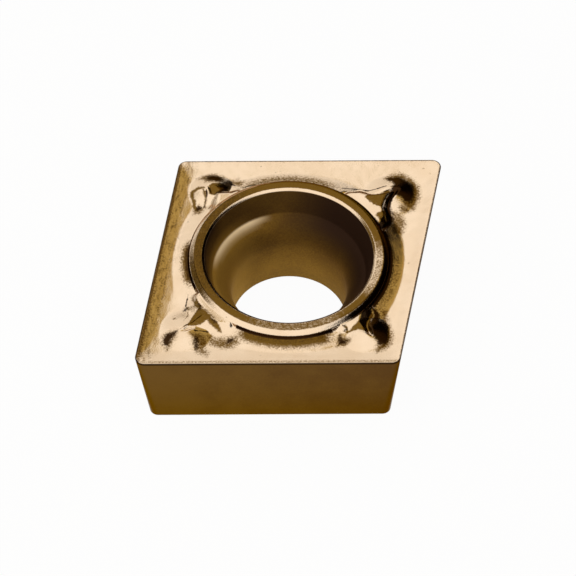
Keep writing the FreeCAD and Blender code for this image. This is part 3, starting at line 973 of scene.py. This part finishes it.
def edge_bands(x, y, wobble):
    """The painted brown and dark shade along the four cutting edges."""
    left, out = left_and_out(x, y, CORNER_ANGLE)
    from_left, from_right = IN_RADIUS - left, IN_RADIUS + left
    from_front, from_back = IN_RADIUS + y, IN_RADIUS - y
    streaks = clouds(out * STREAK_ALONG, left * STREAK_ACROSS, 0.06, 6.6)
    brown = np.max([
        (0.30 + 0.22 * streaks) * (1 - ramp(from_left + 0.3 * wobble, 0.25, 0.6)),
        0.9 * (1 - ramp(from_left, 0.05, 0.14)),
        0.75 * (1 - ramp(from_left, 0.08, 0.22)) * ramp(-out, 1.6, 2.2),
        0.5 * (1 - ramp(from_front, 0.05, 0.16)),
    ], axis=0)
    nearest = np.minimum(np.minimum(from_left, from_right), from_back)
    return brown, 0.8 * (1 - ramp(nearest, 0.035, 0.055))


print("streaks are", round(STREAK_ACROSS / STREAK_ALONG, 1), "times as long as wide")

# %% [markdown]
# All of this is worked out from each point's place: its height, its distance from the
# hole's axis, and its direction in degrees, counted from the right and anticlockwise.

# %% Brown and dark for the top face
x, y, z = points.T
z = z - THICKNESS
r = np.hypot(x, y)
azimuth = np.degrees(np.arctan2(y, x))
top = x[on_top], y[on_top]
around = r[on_top], azimuth[on_top]
wobble = 0.014 * clouds(*top, 0.12, 1.3)
specks = ramp(clouds(*top, 0.07, 4.4), 0.95, 1.15) * ramp(clouds(*top, 0.9, 2.2), 0.1, 0.5)
# The brown share is painted reflection and shade with a few random specks, and the dark share is painted dark
# reflection and shade.
brown, painted_dark_share = np.zeros(len(points)), np.zeros(len(points))
brown[on_top], painted_dark_share[on_top] = np.max([
    drawn_patches(*top, wobble),
    edge_bands(*top, wobble),
    ring_patches(*around, wobble),
    (0.45 * specks, foot_line(*top, *around, wobble)),
], axis=0)
print("mean share of brown:", round(brown[on_top].mean(), 3), "of dark:", round(painted_dark_share[on_top].mean(), 3))

# %% [markdown]
# ## The ring, the hole and the flanks
# The ring's crest is painted brown as a painted reflection, paler at the right and the front,
# and its inner chamfer is painted nearly black at the left as painted shade. The wall of the
# hole is painted dark at the right as painted shade and glints at the left with a painted
# highlight, and a bright crescent, a painted highlight, lies on the ledge above the seat. The
# flanks are a dark bronze, and the hone runs from one finish to the other.

# %% Shares for the ring
# Painted reflection: the crest is brown, paler at the right and the front, and varies at random.
outer = 2.31 + 0.12 * band(azimuth, (-20, 0), (85, 115))
crest = band(r, (2.119, 2.134), (outer, outer + 0.015)) * (z > 0.1)
tone = 1 - 0.5 * sector(azimuth, -12, 30, 20) - 0.25 * sector(azimuth, -85, 45, 30)
tone = tone - 0.12 * np.clip(clouds(x, y, 0.09, 8.8), -0.5, 1)
brown = np.maximum(brown, tone * crest)
# Painted shade at the left: the crest darker, the chamfer nearly black and the bevel brown.
painted_dark_share = np.maximum(painted_dark_share, 0.42 * crest * ramp(towards(azimuth, 165), 0.3, 0.9))
chamfer = band(r, (2.059, 2.065), (2.112, 2.128)) * (z > 0.15)
painted_dark_share = np.maximum(painted_dark_share, 0.93 * chamfer * ramp(towards(azimuth, 197), 0.5, 0.8))
bevel = band(r, (2.30, 2.33), (2.42, 2.44)) * (z > 0.09)
brown = np.maximum(brown, 0.5 * bevel * ramp(towards(azimuth, 195), 0.86, 0.97))
print("points on the crest:", int((crest > 0.5).sum()))

# %% Shares for the hole
RIM_RADIUS, RIM_HEIGHT = 2.064, 0.19
WALL_FOOT = -0.4
hole = np.where((r < RIM_RADIUS) & (z < RIM_HEIGHT), 1.0, 0.0)
back = hole * ramp(y, -0.2, 1.1)
lip = hole * ramp(towards(azimuth, 190), 0.45, 0.85)
# Painted shade in the hole: dark at the right, on the upper wall towards the back, at the rim on the left,
# and in a band at mid-height at the back.
painted_hole_shade = np.max([
    hole * ramp(towards(azimuth, 25), -0.2, 0.9) * ramp(z, -1.35, -0.5),
    0.55 * hole * ramp(z, -0.5, -0.42) * ramp(y, -0.6, 0.9),
    0.95 * lip * ramp(z, 0.02, 0.09),
    0.3 * back * band(z, (-1.32, -1.05), (-0.8, -0.55)),
], axis=0)
# Painted highlight: the seat and the bore are lighter at the left, and the bore a little lighter at the back.
glint = 0.55 * hole * ramp(towards(azimuth, 185), 0.3, 1) * (z < WALL_FOOT)
glint = np.maximum(glint, 0.16 * back * (1 - ramp(z, -1.5, -1.25)))
# Painted highlight: a bright, less metallic crescent on the ledge at the back left.
crescent_highlight = hole * ramp(towards(azimuth, 140), 0.78, 0.97)
crescent_highlight = crescent_highlight * band(z, (-0.53 - 0.05 * crescent_highlight, -0.48), (-0.47, -0.44))
print("hole points:", int(hole.sum()), "with a glint:", int((glint > 0.1).sum()))

# %% Share for the flanks, and all shares stored
FLANK_LOOPS = ROUND_STEPS + 2
FRONT_FROM = -3.1
flank = np.zeros(len(points))
flank[:FLANK_LOOPS * COLUMNS] = 1
# The hone keeps the pale top colour further down at the front, as a painted highlight, and turns to the flank
# colour sooner at the other edges, as painted shade.
front = y[hone] < FRONT_FROM
flank[hone] = np.where(front, ramp(hone_turn, 0.35, 0.9), ramp(hone_turn, 0.0, 0.3))
stored = {
    "flank": flank, "hole": hole, "brown": brown, "painted_dark_share": painted_dark_share,
    "painted_hole_shade": painted_hole_shade, "glint": glint, "crescent_highlight": crescent_highlight,
}
for name, values in stored.items():
    layer = insert.data.attributes.new(name, "FLOAT", "POINT")
    layer.data.foreach_set("value", values)
print("flank points:", int(flank.sum()), "stored:", list(stored))


# %% [markdown]
# ## The coating
# A hard coating is a thin layer that mirrors like metal and tints what it mirrors. So the
# shader is metallic, and only the hole is duller and a little less so. The stored shares
# choose between pale golden tan, painted brown with random specks, and painted dark, which
# are painted reflection and shade, and add painted shade and highlights in the hole. Noise
# breaks up their borders, and the finest noise goes into the bump, as the grain of the
# pressed face.

# %% What the coating starts from
PALE, PALE_PATCH = (0.84, 0.672, 0.50, 1), (0.80, 0.625, 0.45, 1)
# Painted brown for reflection and shade, also used for random specks, and painted dark for dark reflection
# and shade.
BROWN_SHADE_AND_SPECKS, PAINTED_DARK = (0.15, 0.08, 0.013, 1), (0.035, 0.016, 0.006, 1)
# FLANK_EDGE is a painted shadow line just under the hone.
FLANK, FLANK_PALE, FLANK_EDGE = (0.10, 0.048, 0.0145, 1), (0.148, 0.077, 0.019, 1), (0.03, 0.014, 0.005, 1)
# The hole's own dull colour with grain, then painted shade, a painted highlight and a painted crescent
# highlight.
HOLE, HOLE_GRAIN, HOLE_SHADE = (0.21, 0.108, 0.018, 1), (0.30, 0.163, 0.024, 1), (0.035, 0.016, 0.009, 1)
HOLE_GLINT, HOLE_CRESCENT_HIGHLIGHT = (0.7, 0.42, 0.08, 1), (1.0, 0.8, 0.52, 1)
# The flanks are painted darker to the right, as painted shade.
PALER_TO_THE_RIGHT = -60.0
# Where the painted shadow line under the hone starts and where it is full.
EDGE_BELOW, EDGE_FULL = 0.1, 0.055
coating, start = new_material("bronze_coating")
share_of = {name: start.node("ShaderNodeAttribute", {"attribute_name": name}, None, "Fac") for name in stored}


def noise_with(scale, detail, roughness):
    """Noise in the insert's own space, with so many patches to a metre."""
    inputs = {"Vector": start, "Scale": scale, "Detail": detail, "Roughness": roughness}
    return start.node("ShaderNodeTexNoise", None, inputs, "Fac")


grain = noise_with(30000.0, 3.0, 0.6)
patches = noise_with(1500.0, 3.0, 0.5)
mottle = noise_with(24000.0, 2.0, 0.6)
sideways, height = (start.node("ShaderNodeSeparateXYZ", None, {"Vector": start}, axis) for axis in "XZ")
print("shares to read:", len(share_of))


# %% Colours of the top, the hole and the flanks
def broken_up(share, strength, low, high):
    """A share whose soft border is broken up by the mottle and then drawn together."""
    return (share + (mottle - 0.5) * share * (1.0 - share) * strength).fade(low, high)


pale = patches.fade(0.35, 0.7).blend(PALE, PALE_PATCH)
# Painted brown reflection and shade with random specks, then painted dark reflection and shade, over the pale
# tan.
on_face = broken_up(share_of["brown"], 6.0, 0.05, 0.95).blend(pale, BROWN_SHADE_AND_SPECKS)
on_face = broken_up(share_of["painted_dark_share"], 5.0, 0.08, 0.92).blend(on_face, PAINTED_DARK)
in_hole = (patches * 0.4 + mottle * 0.6).fade(0.38, 0.62).blend(HOLE, HOLE_GRAIN)
# Painted shade, a painted highlight and a painted crescent highlight over the hole's own colour.
for name, colour in (("painted_hole_shade", HOLE_SHADE), ("glint", HOLE_GLINT), ("crescent_highlight", HOLE_CRESCENT_HIGHLIGHT)):
    in_hole = share_of[name].blend(in_hole, colour)
# Random patches on the flanks, and painted shade that darkens them to the right.
paler = (patches * 0.5 + mottle * 0.5 + sideways * PALER_TO_THE_RIGHT).fade(0.2, 0.8)
# A painted shadow line at the top of the flanks, just under the hone.
near_edge = height.fade((THICKNESS - EDGE_BELOW) * MM, (THICKNESS - EDGE_FULL) * MM)
on_flank = near_edge.blend(paler.blend(FLANK, FLANK_PALE), FLANK_EDGE)
colour = share_of["flank"].blend(share_of["hole"].blend(on_face, in_hole), on_flank)
print("nodes in the material so far:", len(coating.node_tree.nodes))

# %% The shader
bump = start.node("ShaderNodeBump", None, {"Strength": 0.5, "Distance": 0.000005, "Height": grain}, "Normal")
skin = start.node("ShaderNodeBsdfPrincipled", None, {
    "Base Color": colour,
    "Metallic": 1.0 - share_of["hole"] * 0.25 - share_of["crescent_highlight"] * 0.6,
    "Roughness": share_of["hole"] * 0.5 + 0.16,
    "Specular Tint": (0.55, 0.45, 0.35, 1),
    "Normal": bump,
})
finish_material(coating, skin)
insert.data.materials.clear()
insert.data.materials.append(coating)
print("coating:", coating.name)

# %% [markdown]
# ## Smooth shading and the last calls
# Most of the insert is one smooth skin, and only where two faces meet at more than 50
# degrees does the shading keep a crease. The last calls name the moving body that the
# insert belongs to, and the solid that it stands for, which is hidden.

# %% Smooth shading and the last calls
bpy.ops.object.select_all(action="DESELECT")
insert.select_set(True)
bpy.context.view_layer.objects.active = insert
bpy.ops.object.shade_smooth_by_angle(angle=math.radians(50))
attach(insert, "root")
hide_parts("insert_body")
